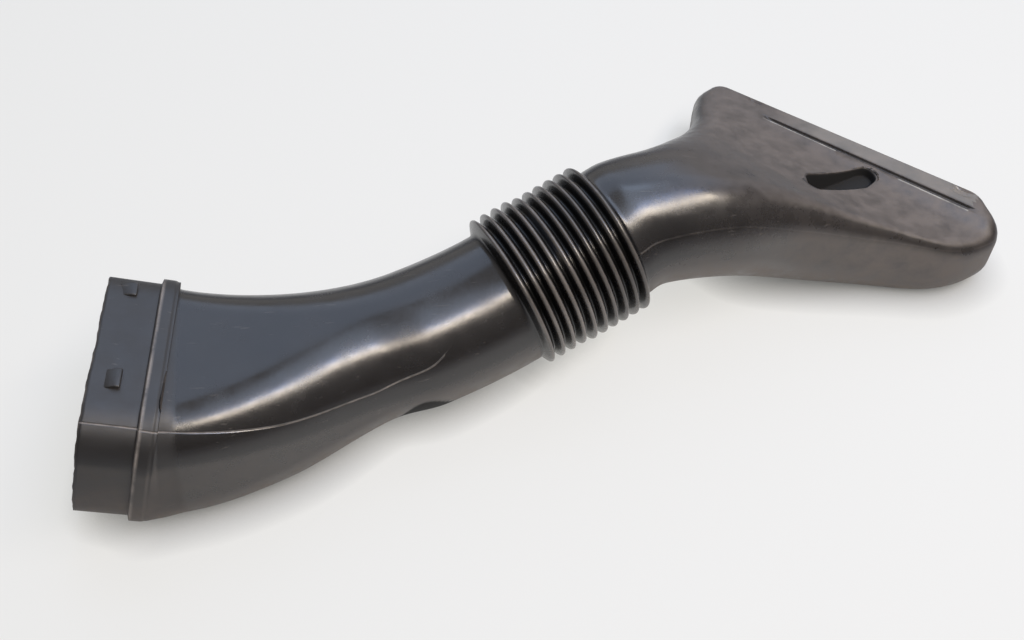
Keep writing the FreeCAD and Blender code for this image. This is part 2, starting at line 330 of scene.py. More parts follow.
def scoop_rows():
    """Scoop sections: distance, place, heading, rise, half width and height, corners, fall of the roof."""
    half = MOUTH_WIDTH / 2
    rows = []
    for d in (-0.2, 14.0):
        p = BELLOWS_END + BELLOWS_AXIS * d
        rows.append([d, p[0], p[1], p[2], 24.5, 13.0, TUBE_RADIUS, TUBE_RADIUS, TUBE_RADIUS - 0.5,
                     TUBE_RADIUS - 0.5, 0.0])
    # Distance, setback from the mouth, reach to the near and far side, floor, roof, corner, corner of the
    # near shoulder, fall of the roof to it, turn to go, rise
    plan = [(40.0, 134.0, 4.0, 80.0, 24.0, 98.0, 35.0, 34.0, 0.0, 0.5, 5.0),
            (68.0, 105.0, 24.0, 77.5, 11.5, 85.0, 31.0, 25.0, 4.0, 0.2, 0.0),
            (95.0, 77.0, 57.0, 77.5, 2.5, 71.5, 25.0, 14.0, 14.0, 0.0, 0.0),
            (120.0, 52.0, 91.0, 81.5, 0.0, 59.0, 19.5, 9.5, 16.0, 0.0, 0.0),
            (143.0, 29.0, half + 9.5, half - 3.0, 0.0, MOUTH_HEIGHT + 9.0, 16.0, 9.0, 11.0, 0.0, 0.0),
            (157.0, 15.0, half + 8.5, half + 2.0, 0.0, MOUTH_HEIGHT + 4.0, 14.0, 11.0, 3.5, 0.0, 0.0),
            (172.0, 0.0, half - 3.0, half + 2.0, 0.0, MOUTH_HEIGHT, 14.0, 14.0, 0.0, 0.0, 0.0)]
    for d, setback, near, far, floor, roof, corner, shoulder, fall, turn, rise in plan:
        p = MOUTH_FLOOR - MOUTH_AXIS * setback + MOUTH_ACROSS * ((far - near) / 2)
        rows.append([d, p[0], p[1], (floor + roof) / 2, MOUTH_HEADING - turn * 25.5, rise, (near + far) / 2,
                     (roof - floor) / 2, corner, shoulder, fall])
    return rows


def scoop_part(d, inset, groove, share):
    """Scoop: rounded boxes from the round tube to the slanted mouth.

    A groove behind the roof's lip and two notches in it are smooth steps in setback and reach.
    """
    row = hermite(scoop_rows(), d)
    half_w, half_h, corner = row[:, 6] - inset, row[:, 7] - inset, row[:, 8] - inset
    shoulder, fall = row[:, 9] - inset, row[:, 10]
    x, y = outline(half_w, half_w, half_h, half_h - fall, half_h, [corner, shoulder, corner, corner], share)
    points = place(row[:, 1:4], heading(row[:, 4], row[:, 5]), x, y)
    reach = (points - MOUTH_FLOOR) @ MOUTH_ACROSS
    setback = (MOUTH_FLOOR - points) @ MOUTH_AXIS
    roof = half_h[:, None] - fall[:, None] * (half_w[:, None] - x) / (2 * half_w[:, None])
    on_roof = smooth((y - roof + 2.0) / 1.5)
    dip = smooth((GROOVE_HALF_WIDTH - np.abs(setback - GROOVE_SETBACK)) / 0.9)
    span = smooth((reach - GROOVE_FROM) / 3.0) * smooth((GROOVE_TO - reach) / 3.0)
    points[:, :, 2] -= groove * dip * span * on_roof
    for middle, back in LIP_NOTCHES:
        notch = smooth((5.0 - np.abs(reach - middle)) / 1.2) * smooth((back - setback) / 1.2)
        points[:, :, 2] -= groove * 1.2 * notch * on_roof
    return points


def lip_setback(points):
    """Setback behind the mouth of the roof's points beside the groove, and 100 mm for all others."""
    setback = (MOUTH_FLOOR - points) @ MOUTH_AXIS
    reach = (points - MOUTH_FLOOR) @ MOUTH_ACROSS
    roof = roof_height(points[:, :, :2].reshape(-1, 2), 0.0).reshape(setback.shape)
    near = (setback < 24.0) & (reach > GROOVE_FROM + 1.0) & (reach < GROOVE_TO + 1.0)
    near &= points[:, :, 2] > roof - 3.5
    return np.where(near, setback, 100.0)


def roof_height(xy, inset):
    """Height of the scoop's roof over points of the plan.

    The setback behind the mouth gives the row, and the reach along the mouth the share of the row's fall.
    """
    setback = (MOUTH_FLOOR[:2] - xy) @ MOUTH_AXIS[:2]
    reach = (xy - MOUTH_FLOOR[:2]) @ MOUTH_ACROSS[:2]
    d = np.linspace(90.0, SCOOP_LENGTH, 300)
    row = hermite(scoop_rows(), d)
    back = (MOUTH_FLOOR[:2] - row[:, 1:3]) @ MOUTH_AXIS[:2]
    middle = (row[:, 1:3] - MOUTH_FLOOR[:2]) @ MOUTH_ACROSS[:2]
    at = lambda values: np.interp(setback, back[::-1], values[::-1])
    share = (at(middle) + at(row[:, 6]) - inset - reach) / (2 * at(row[:, 6]) - 2 * inset)
    return at(row[:, 3] + row[:, 7]) - inset - at(row[:, 10]) * share


def pocket_local(xy):
    """Plan points as runs along the pocket and across it from its centre."""
    rel = xy - POCKET_CENTRE
    return rel @ POCKET_AXIS, rel @ POCKET_ACROSS


def pocket_reach(angle, grow):
    """Reach of the pocket's outline from its centre at an angle.

    The outline is a bar with a leaning heel and a toe cut back on its near side: a polygon whose corners are
    rounded by offsetting it, sampled once all round and read off by angle. Lengths along the bar are
    squeezed, so the angles spread evenly.
    """
    end, side = POCKET_LENGTH / 2 - POCKET_ROUND, POCKET_WIDTH / 2 - POCKET_ROUND
    bone = np.array([(-end, -side), (end - 9.0, -side), (end, 0.5), (end, side), (4.0 - end, side)])
    ring = np.linspace(0.0, 1.0, 400, endpoint=False) * len(bone)
    k = ring.astype(int)
    f = (ring - k)[:, None]
    edge = bone[k] * (1 - f) + bone[(k + 1) % len(bone)] * f
    sweep = np.linspace(0.0, 2 * math.pi, 48, endpoint=False)
    disc = np.stack([np.cos(sweep), np.sin(sweep)], 1) * (POCKET_ROUND + grow)
    cloud = (edge[:, None] + disc[None]).reshape(-1, 2)
    turn = np.arctan2(cloud[:, 1], cloud[:, 0] / POCKET_SQUEEZE)
    far = np.hypot(cloud[:, 0] / POCKET_SQUEEZE, cloud[:, 1])
    slots = np.linspace(-math.pi, math.pi, 181)
    best = np.zeros(180)
    np.maximum.at(best, np.clip(np.digitize(turn, slots) - 1, 0, 179), far)
    middle = (slots[1:] + slots[:-1]) / 2
    best = np.convolve(np.concatenate([best[-1:], best, best[:1]]), [0.25, 0.5, 0.25], "valid")
    return np.interp(angle, middle, best, period=2 * math.pi)


def pocket_patch(points, ids, inset):
    """Polar patch that fills a hole in the roof's grid with the pocket.

    Rings run from the hole's edge to the pocket's rim, over a small round, down the wall and over the level
    floor. Each ring keeps the angles of the hole's edge about the centre, so the outer ring is the edge.
    """
    edge = points[ids]
    a, b = pocket_local(edge[:, :2])
    angle = np.arctan2(b, a / POCKET_SQUEEZE)
    ray = np.cos(angle)[:, None] * POCKET_SQUEEZE * POCKET_AXIS + np.sin(angle)[:, None] * POCKET_ACROSS
    # Growth outside the rim, share of the way out to the hole's edge, drop below the roof, share of the depth
    rings = [(0.0, 0.75, 0.0, 0.0), (0.0, 0.5, 0.0, 0.0), (0.0, 0.3, 0.0, 0.0), (0.0, 0.15, 0.0, 0.0),
             (1.1, 0.0, 0.0, 0.0), (0.75, 0.0, 0.05, 0.0), (0.45, 0.0, 0.2, 0.0), (0.2, 0.0, 0.5, 0.0),
             (0.05, 0.0, 1.0, 0.0)]
    rings += [(-0.03 * k, 0.0, 1.0, k / 10) for k in range(1, 10)]
    rings += [(-0.5, 0.0, 1.0, 0.96), (-0.9, 0.0, 1.0, 0.985), (-1.5, 0.0, 1.0, 1.0), (-3.4, 0.0, 1.0, 1.0)]
    rim = pocket_reach(angle, inset)
    out = []
    for grow, share, drop, deep in rings:
        base = POCKET_CENTRE + ray * (rim + grow)[:, None]
        xy = base * (1 - share) + edge[:, :2] * share
        roof = roof_height(xy, inset) - drop
        z = roof + (POCKET_FLOOR - inset - roof) * deep
        out.append(np.concatenate([xy, z[:, None]], 1))
    low = np.append(POCKET_CENTRE, POCKET_FLOOR - inset)
    return np.array(out), low


def block_edge(hole, columns, first):
    """Indices round the edge of a block of cells, in order."""
    r0, r1, c0, c1 = hole
    top = [(r0, c) for c in range(c0, c1)]
    right = [(r, c1) for r in range(r0, r1)]
    low = [(r1, c) for c in range(c1, c0, -1)]
    left = [(r, c0) for r in range(r1, r0, -1)]
    return np.array([first + r * columns + c for r, c in top + right + low + left])


def pocket_block(points, inset):
    """Block of grid cells on the roof that holds the pocket with a margin and stays clear of the groove."""
    a, b = pocket_local(points[:, :, :2])
    inside = (np.abs(a) < POCKET_LENGTH / 2 + 4.0) & (np.abs(b) < POCKET_WIDTH / 2 + 4.0)
    inside &= points[:, :, 2] > 30.0
    inside &= (MOUTH_FLOOR - points) @ MOUTH_AXIS > GROOVE_SETBACK + 2.2 - 1.6 * inset
    rows = np.flatnonzero(inside.any(1))
    columns = np.flatnonzero(inside.any(0))
    return rows[0] - 1, rows[-1] + 1, columns[0] - 1, columns[-1] + 1


def seam_offset(points, station, share):
    """Distance in millimetres round each section from the mould's parting line to its points.

    The line's share of the outline is a smooth curve over the station. It lies on the near shoulder, sinks to
    the middle of the neck's side at the dent and climbs again where it ends short of the bellows.
    """
    at = hermite(PARTING_LINE, np.clip(station, 0.0, 442.0))[:, 1]
    girth = np.linalg.norm(np.diff(points, axis=1), axis=2).sum(1)
    gone = 40.0 * smooth((station - 157.0) / 5.0) * (station < 270.0)
    off = (share[None, :] - at[:, None]) * girth[:, None]
    return off + np.sign(off) * gone[:, None]


def duct_skin(sizes):
    """Outer and inner skin of the duct as one closed mesh, with the values its finish is drawn by.

    The outer grid is the collar, neck, bellows and scoop one after the other, and the inner one the same
    sections one wall in. Rounded rims join them at the cut end and at the mouth.
    """
    columns = sizes.columns
    share = np.arange(columns) / columns
    wall, thin = sizes.wall * 1000, sizes.bellows_wall * 1000
    groove, flex = sizes.groove_depth * 1000, sizes.flex * 1000
    collar_rows = np.concatenate([np.linspace(0.0, 24.0, 12), np.linspace(25.0, 35.0, 30)])
    neck_rows = np.linspace(0.0, 1.0, 104)[5:-1]
    bellows_rows = np.linspace(0.0, BELLOWS_LENGTH, RIDGE_COUNT * 15 + 1)
    scoop_d = np.concatenate([np.linspace(1.0, 90.0, 48), np.linspace(91.2, 154.4, 53),
                              np.linspace(155.0, 159.4, 15), np.linspace(160.3, 171.4, 11)])
    outer = np.concatenate([collar_part(collar_rows, 0.0, share), neck_part(neck_rows, 0.0, share),
                            bellows_part(bellows_rows, 0.0, flex, share),
                            scoop_part(scoop_d, 0.0, groove, share)])
    in_collar = np.linspace(1.0, 33.0, 14)
    in_neck = np.linspace(0.0, 1.0, 36)[1:-1]
    in_bellows = np.linspace(0.0, BELLOWS_LENGTH, RIDGE_COUNT * 6 + 1)
    in_scoop = np.concatenate([np.linspace(1.5, 90.0, 16), np.linspace(93.0, 171.0, 34)])
    inner = np.concatenate([collar_part(in_collar, wall, share), neck_part(in_neck, wall, share),
                            bellows_part(in_bellows, thin, flex, share),
                            scoop_part(in_scoop, wall, 0.0, share)])[::-1]
    mouth = [scoop_part(np.array([SCOOP_LENGTH - d]), i, 0.0, share)[0]
             for d, i in ((0.15, 0.1), (0.0, 0.5), (0.0, 1.1), (0.0, wall - 0.5), (0.15, wall - 0.1))]
    cut = [collar_part(np.array([d]), i, share)[0]
           for d, i in ((0.1, wall - 0.2), (0.0, wall - 0.7), (0.0, 0.7), (0.05, 0.15))]
    loop = np.concatenate([outer, np.array(mouth), inner, np.array(cut)])
    # The trimmed end strays along the collar's axis, most at its outer edge
    angle = share * 2 * math.pi
    slow, quick = ripple(3, angle, (2, 5, 11)), ripple(5, angle, (17, 26, 39, 57))
    stray = sizes.ragged * 1000 * (slow * 0.5 + quick * 0.4)
    along = (loop - COLLAR_END) @ COLLAR_AXIS
    near_end = np.clip(1 - along / 4.0, 0.0, 1.0) * (along < 4.0)
    loop = loop + COLLAR_AXIS * (near_end * (stray + 0.7))[:, :, None]
    rows = len(loop)
    first_scoop = len(collar_rows) + len(neck_rows) + len(bellows_rows)
    first_inner = len(outer) + len(mouth)
    verts = loop.reshape(-1, 3)
    extra = []
    pocket_shade = []
    faces = []
    holes = []
    count = len(verts)
    last_inner = first_inner + len(in_scoop)
    for first, last, inset in ((first_scoop, len(outer), 0.0), (first_inner, last_inner, wall)):
        hole = pocket_block(loop[first:last], inset)
        hole = (hole[0] + first, hole[1] + first, hole[2], hole[3])
        ids = block_edge(hole, columns, 0)
        rings, low = pocket_patch(verts, ids, inset)
        n = len(ids)
        around = np.arange(n)
        steps = np.concatenate([ids[None], count + np.arange(len(rings) * n).reshape(len(rings), n)])
        nxt = (around + 1) % n
        quads = np.stack([steps[:-1], steps[:-1][:, nxt], steps[1:][:, nxt], steps[1:]], -1).reshape(-1, 4)
        tip = count + len(rings) * n
        fan = np.stack([steps[-1], steps[-1][nxt], np.full(n, tip), np.full(n, tip)], -1)
        faces += [quads, fan]
        extra += [rings.reshape(-1, 3), low[None]]
        # Painted shade: the pocket's wall and floor are marked to take the dark colour
        pocket_shade += [np.repeat(np.where(np.arange(len(rings)) > 7, 1.0, 0.0), n), np.array([1.0])]
        count = tip + 1
        holes.append(hole)
    r, c = np.meshgrid(np.arange(rows), np.arange(columns), indexing="ij")
    keep = np.ones(r.shape, bool)
    for h in holes:
        keep &= ~((r >= h[0]) & (r < h[1]) & (c >= h[2]) & (c < h[3]))
    r, c = r[keep], c[keep]
    below, beside = (r + 1) % rows, (c + 1) % columns
    r, below = r * columns, below * columns
    shell = np.stack([r + c, r + beside, below + beside, below + c], -1)
    faces = np.concatenate([shell] + faces)
    verts = np.concatenate([verts] + extra)
    # Values for the finish: station along the duct, height between valley and crest, and bellows or not, then
    # the distance from the parting line, the setback beside the groove, and what takes painted shade
    station = np.concatenate([collar_rows, 34.0 + 160.0 * neck_rows, 200.0 + bellows_rows, 270.0 + scoop_d])
    station = np.concatenate([station, np.full(rows - len(station), 442.0)])
    lift = np.zeros(rows)
    b0 = len(collar_rows) + len(neck_rows)
    lift[b0:b0 + len(bellows_rows)] = (bellows_radius(bellows_rows, 0.0) - VALLEY_RADIUS) / (
        RIDGE_RADIUS - VALLEY_RADIUS)
    ribbed = np.zeros(rows)
    ribbed[b0:b0 + len(bellows_rows)] = 1.0
    patch = len(verts) - rows * columns
    spread = lambda a, fill: np.concatenate([np.repeat(a, columns), np.full(patch, fill)])
    values = {"station": spread(station, 390.0), "crest": spread(lift, 0.0), "ribbed": spread(ribbed, 0.0)}
    off = np.full((rows, columns), 30.0)
    off[:len(outer)] = seam_offset(outer, station[:len(outer)], share)
    off[b0:b0 + len(bellows_rows)] = 30.0
    values["seam"] = np.concatenate([off.reshape(-1), np.full(patch, 30.0)])
    lip = np.full((rows, columns), 100.0)
    lip[first_scoop:len(outer)] = lip_setback(outer[first_scoop:])
    values["lip"] = np.concatenate([lip.reshape(-1), np.full(patch, 100.0)])
    # Painted shade: the inner skin is marked to take the dark colour
    inside = np.zeros((rows, columns))
    inside[first_inner:first_inner + len(inner)] = 1.0
    # Painted shade: below the dent's arch the lowest strip of the near side is painted dark, standing in for
    # the shadow beneath the arch
    arch = 0.15 + 0.082 * (1 - ((neck_rows - 0.70) / 0.08) ** 2)
    arch_shade = smooth((arch[:, None] - share[None, :]) / 0.012)
    inside[len(collar_rows):b0] = arch_shade * (arch > 0.15)[:, None]
    values["inside"] = np.concatenate([inside.reshape(-1)] + pocket_shade)
    return verts, faces, values


def make_object(name, verts, faces, values=None):
    """Mesh object in metres over the origin, smooth shaded, with its values as point attributes."""
    mesh = bpy.data.meshes.new(name)
    triangle = faces[:, 2] == faces[:, 3]
    polys = [f[:3] if t else f for f, t in zip(faces.tolist(), triangle.tolist())]
    mesh.from_pydata(((verts - ORIGIN) / 1000.0).tolist(), [], polys)
    mesh.update()
    for key, value in (values or {}).items():
        layer = mesh.attributes.new(key, "FLOAT", "POINT")
        layer.data.foreach_set("value", np.asarray(value, np.float32))
    mesh.shade_smooth()
    piece = bpy.data.objects.new(name, mesh)
    bpy.context.scene.collection.objects.link(piece)
    return piece


def polyethylene(colours):
    """Worn carbon-black polyethylene, blown against a sand-blasted mould.

    It gives the eye a satin black with soft broad highlights that waver a little, greyed by road dust on the
    scoop, paler on the lower sides, and rubbed pale on the parting line, the rib and the ridges. The valleys,
    the groove's floor, the pocket, the strip below the dent's arch and the inner skin are painted dark as
    shade, the scoop's shoulder is kept dark as a painted reflection, and the groove's near edge carries a
    painted highlight. IOR 1.54, roughness 0.21 where it is clean and 0.6 where dust lies.
    """
    material = bpy.data.materials.new("worn_black_polyethylene")
    material.use_nodes = True
    tree = material.node_tree
    tree.nodes.clear()
    place_out = add_node(tree, "ShaderNodeTexCoord").outputs["Object"]
    normal = add_node(tree, "ShaderNodeNewGeometry")
    look = add_node(tree, "ShaderNodeSeparateXYZ", links={0: normal.outputs["Normal"]})
    # The inside value marks painted shade: the inner skin, the pocket and the strip below the dent's arch
    values = {name: add_node(tree, "ShaderNodeAttribute", {"attribute_name": name}).outputs["Fac"]
              for name in ("station", "crest", "ribbed", "seam", "inside", "lip")}
    # Clouds of handling marks about 40 mm wide, smears of 12 mm, grit of 2 mm, which is coarser than the real
    # grain so that it shows, and waves of the blown wall of 60 mm
    cloud = add_node(tree, "ShaderNodeTexNoise", {"Scale": 25.0, "Detail": 5.0, "Roughness": 0.6},
                     {"Vector": place_out})
    smear = add_node(tree, "ShaderNodeTexNoise", {"Scale": 85.0, "Detail": 6.0, "Roughness": 0.65},
                     {"Vector": place_out})
    grit = add_node(tree, "ShaderNodeTexNoise", {"Scale": 500.0, "Detail": 3.0}, {"Vector": place_out})
    wave = add_node(tree, "ShaderNodeTexNoise", {"Scale": 17.0, "Detail": 2.0, "Roughness": 0.4},
                    {"Vector": place_out})
    # Scratches: noise drawn out twenty times along the duct, only its peaks
    drawn = add_node(tree, "ShaderNodeMapping",
                     {"Rotation": (0.0, 0.0, -0.35), "Scale": (55.0, 430.0, 430.0)},
                     {"Vector": place_out})
    streak = add_node(tree, "ShaderNodeTexNoise", {"Scale": 1.0, "Detail": 2.0}, {"Vector": drawn.outputs[0]})
    scratch = add_node(tree, "ShaderNodeMapRange", {"From Min": 0.68, "From Max": 0.78, "To Max": 0.16},
                       {"Value": streak.outputs["Fac"]})
    # Dust on the scoop: thick on the roof and thinner on its sides; the shoulder between them gets little, so
    # it stays dark as a painted dark reflection
    roof = add_node(tree, "ShaderNodeMapRange",
                    {"From Min": 0.72, "From Max": 0.92, "To Min": 0.22, "To Max": 0.9},
                    {"Value": look.outputs["Z"]})
    side = add_node(tree, "ShaderNodeMapRange",
                    {"From Min": 0.42, "From Max": 0.05, "To Min": 0.2, "To Max": 0.85},
                    {"Value": look.outputs["Z"]})
    faces = add_node(tree, "ShaderNodeMath", {"operation": "MAXIMUM"},
                     {0: roof.outputs[0], 1: side.outputs[0]})
    on_scoop = add_node(tree, "ShaderNodeMapRange",
                        {"From Min": 288.0, "From Max": 362.0, "To Max": 0.95}, {"Value": values["station"]})
    scoop_dust_and_shade = add_node(tree, "ShaderNodeMath", {"operation": "MULTIPLY"},
                          {0: faces.outputs[0], 1: on_scoop.outputs[0]})
    # The dust colour on the sides that look down and on a band just above the floor
    low = add_node(tree, "ShaderNodeMapRange", {"From Min": 0.12, "From Max": -0.38, "To Max": 1.0},
                   {"Value": look.outputs["Z"]})
    plain = add_node(tree, "ShaderNodeMapRange", {"To Min": 1.0, "To Max": 0.12}, {"Value": values["ribbed"]})
    high = add_node(tree, "ShaderNodeSeparateXYZ", links={0: place_out})
    rise = add_node(tree, "ShaderNodeMapRange",
                    {"From Min": 50.0, "From Max": 34.0, "To Min": 0.036, "To Max": 0.065},
                    {"Value": values["station"]})
    near_floor = add_node(tree, "ShaderNodeMapRange", {"From Max": 0.008, "To Max": 0.9},
                      {"Value": high.outputs["Z"], "From Min": rise.outputs[0]})
    low_or_near_floor = add_node(tree, "ShaderNodeMath", {"operation": "MAXIMUM"},
                      {0: low.outputs[0], 1: near_floor.outputs[0]})
    below = add_node(tree, "ShaderNodeMath", {"operation": "MULTIPLY"},
                     {0: low_or_near_floor.outputs[0], 1: plain.outputs[0]})
    most = add_node(tree, "ShaderNodeMath", {"operation": "MAXIMUM"},
                    {0: scoop_dust_and_shade.outputs[0], 1: below.outputs[0]})
    patchy = add_node(tree, "ShaderNodeMapRange",
                      {"From Min": 0.32, "From Max": 0.62, "To Min": 0.45, "To Max": 1.05},
                      {"Value": smear.outputs["Fac"]})
    dust = add_node(tree, "ShaderNodeMath", {"operation": "MULTIPLY", "use_clamp": True},
                    {0: most.outputs[0], 1: patchy.outputs[0]})
    base = add_node(tree, "ShaderNodeMix", {"data_type": "RGBA", 6: linear(colours.plastic),
                                            7: linear(colours.faded)}, {0: cloud.outputs["Fac"]})
    marked = add_node(tree, "ShaderNodeMix", {"data_type": "RGBA", 7: linear(colours.worn)},
                      {0: scratch.outputs[0], 6: base.outputs[2]})
    with_dust = add_node(tree, "ShaderNodeMix", {"data_type": "RGBA", 7: linear(colours.dust)},
                         {0: dust.outputs[0], 6: marked.outputs[2]})
    # The valleys of the bellows and the inside are painted dark as shade, and the crests are rubbed grey
    valley = add_node(tree, "ShaderNodeMapRange", {"From Min": 0.9, "From Max": 0.6},
                      {"Value": values["crest"]})
    # Painted shade: the bellows' valleys take the dark colour
    valley_shade = add_node(tree, "ShaderNodeMath", {"operation": "MULTIPLY"},
                         {0: valley.outputs[0], 1: values["ribbed"]})
    # The groove behind the lip has painted shade on its floor and a painted highlight on its near edge
    from_groove = add_node(tree, "ShaderNodeMath", {"operation": "SUBTRACT", 1: GROOVE_SETBACK},
                           {0: values["lip"]})
    groove_side = add_node(tree, "ShaderNodeMath", {"operation": "ABSOLUTE"}, {0: from_groove.outputs[0]})
    groove_floor_shade = add_node(tree, "ShaderNodeMapRange", {"From Min": 1.9, "From Max": 1.2, "To Max": 0.6},
                            {"Value": groove_side.outputs[0]})
    edge_off = add_node(tree, "ShaderNodeMath", {"operation": "SUBTRACT", 1: 2.3},
                        {0: from_groove.outputs[0]})
    edge_near = add_node(tree, "ShaderNodeMath", {"operation": "ABSOLUTE"}, {0: edge_off.outputs[0]})
    # Painted highlight: a pale line along the groove's near edge
    groove_edge_highlight = add_node(tree, "ShaderNodeMapRange", {"From Min": 0.75, "From Max": 0.25, "To Max": 0.85},
                           {"Value": edge_near.outputs[0]})
    beside_groove = add_node(tree, "ShaderNodeMapRange", {"From Min": -2.2, "From Max": -3.4, "To Max": 0.16},
                             {"Value": from_groove.outputs[0]})
    along_lip = add_node(tree, "ShaderNodeVectorMath", {"operation": "DOT_PRODUCT", 1: tuple(MOUTH_ACROSS)},
                         {0: place_out})
    lip_middle = float((MOUTH_FLOOR - ORIGIN) @ MOUTH_ACROSS) / 1000
    lip_fade = add_node(tree, "ShaderNodeMapRange",
                        {"From Min": lip_middle + 0.048, "From Max": lip_middle + 0.015},
                        {"Value": along_lip.outputs["Value"]})
    lip_strip = add_node(tree, "ShaderNodeMath", {"operation": "MULTIPLY"},
                         {0: beside_groove.outputs[0], 1: lip_fade.outputs[0]})
    valley_and_groove_shade = add_node(tree, "ShaderNodeMath", {"operation": "MAXIMUM"}, {0: valley_shade.outputs[0],
                                                                         1: groove_floor_shade.outputs[0]})
    dark = add_node(tree, "ShaderNodeMath", {"operation": "MAXIMUM"},
                    {0: valley_and_groove_shade.outputs[0], 1: values["inside"]})
    # Painted shade: the dark colour goes where shade would fall
    with_painted_shade = add_node(tree, "ShaderNodeMix", {"data_type": "RGBA", 7: linear(colours.painted_shade)},
                     {0: dark.outputs[0], 6: with_dust.outputs[2]})
    # The ridges nearest the collar are rubbed most
    rubbing = add_node(tree, "ShaderNodeMapRange",
                       {"From Min": 215.0, "From Max": 255.0, "To Min": 0.62, "To Max": 0.36},
                       {"Value": values["station"]})
    ridge_top = add_node(tree, "ShaderNodeMapRange", {"From Min": 0.74, "From Max": 1.02},
                         {"Value": values["crest"], "To Max": rubbing.outputs[0]})
    uneven = add_node(tree, "ShaderNodeMapRange",
                      {"From Min": 0.35, "From Max": 0.6, "To Min": 0.45, "To Max": 1.0},
                      {"Value": cloud.outputs["Fac"]})
    top = add_node(tree, "ShaderNodeMath", {"operation": "MULTIPLY"},
                   {0: ridge_top.outputs[0], 1: uneven.outputs[0]})
    # Parting line: a flash 0.8 mm wide that is rubbed pale in places
    from_seam = add_node(tree, "ShaderNodeMath", {"operation": "ABSOLUTE"}, {0: values["seam"]})
    flash = add_node(tree, "ShaderNodeMapRange", {"From Min": 0.65, "From Max": 0.2},
                     {"Value": from_seam.outputs[0]})
    broken = add_node(tree, "ShaderNodeMapRange",
                      {"From Min": 0.38, "From Max": 0.6, "To Min": 0.2, "To Max": 0.8},
                      {"Value": smear.outputs["Fac"]})
    faint = add_node(tree, "ShaderNodeMapRange",
                     {"From Min": 200.0, "From Max": 300.0, "To Min": 0.85, "To Max": 0.12},
                     {"Value": values["station"]})
    shown = add_node(tree, "ShaderNodeMath", {"operation": "MULTIPLY"},
                     {0: flash.outputs[0], 1: faint.outputs[0]})
    seam_line = add_node(tree, "ShaderNodeMath", {"operation": "MULTIPLY"},
                         {0: shown.outputs[0], 1: broken.outputs[0]})
    # Rubbed front edge of the stop rib, and the frayed cut end
    rib_on = add_node(tree, "ShaderNodeMapRange", {"From Min": 25.9, "From Max": 26.5},
                      {"Value": values["station"]})
    rib_off = add_node(tree, "ShaderNodeMapRange", {"From Min": 28.4, "From Max": 27.2},
                       {"Value": values["station"]})
    rib_edge = add_node(tree, "ShaderNodeMath", {"operation": "MULTIPLY"},
                        {0: rib_on.outputs[0], 1: rib_off.outputs[0]})
    cut_end = add_node(tree, "ShaderNodeMapRange", {"From Min": 1.2, "From Max": 0.2, "To Max": 0.6},
                       {"Value": values["station"]})
    ends = add_node(tree, "ShaderNodeMath", {"operation": "MAXIMUM"},
                    {0: rib_edge.outputs[0], 1: cut_end.outputs[0]})
    edge_worn = add_node(tree, "ShaderNodeMath", {"operation": "MULTIPLY"},
                         {0: ends.outputs[0], 1: broken.outputs[0]})
    most_worn = add_node(tree, "ShaderNodeMath", {"operation": "MAXIMUM"},
                         {0: seam_line.outputs[0], 1: edge_worn.outputs[0]})
    worn = add_node(tree, "ShaderNodeMath", {"operation": "MAXIMUM", "use_clamp": True},
                    {0: most_worn.outputs[0], 1: top.outputs[0]})
    rubbed = add_node(tree, "ShaderNodeMix", {"data_type": "RGBA", 7: linear(colours.worn)},
                      {0: worn.outputs[0], 6: with_painted_shade.outputs[2]})
    # Chalky rubbing along the lip, and in a broken line on the groove's near edge the same pale colour as a
    # painted highlight
    line = add_node(tree, "ShaderNodeMath", {"operation": "MULTIPLY"},
                    {0: groove_edge_highlight.outputs[0], 1: broken.outputs[0]})
    chalk_and_highlight_mask = add_node(tree, "ShaderNodeMath", {"operation": "MAXIMUM"},
                      {0: line.outputs[0], 1: lip_strip.outputs[0]})
    finish = add_node(tree, "ShaderNodeMix", {"data_type": "RGBA", 7: linear(colours.chalk_and_highlight)},
                      {0: chalk_and_highlight_mask.outputs[0], 6: rubbed.outputs[2]})
    # The collar has lost its gloss, the neck and the tube have kept it
    dull = add_node(tree, "ShaderNodeMapRange",
                    {"From Min": 53.5, "From Max": 50.5, "To Min": 0.21, "To Max": 0.46},
                    {"Value": values["station"]})
    rough = add_node(tree, "ShaderNodeMapRange", {"To Max": 0.6},
                     {"Value": dust.outputs[0], "To Min": dull.outputs[0]})
    vary = add_node(tree, "ShaderNodeMapRange",
                    {"From Min": 0.3, "From Max": 0.7, "To Min": -0.04, "To Max": 0.09},
                    {"Value": smear.outputs["Fac"]})
    even = add_node(tree, "ShaderNodeMath", {"operation": "ADD"}, {0: rough.outputs[0], 1: vary.outputs[0]})
    sheltered = add_node(tree, "ShaderNodeMath", {"operation": "MULTIPLY", 1: 0.9}, {0: values["inside"]})
    roughness = add_node(tree, "ShaderNodeMath", {"operation": "MAXIMUM"},
                         {0: even.outputs[0], 1: sheltered.outputs[0]})
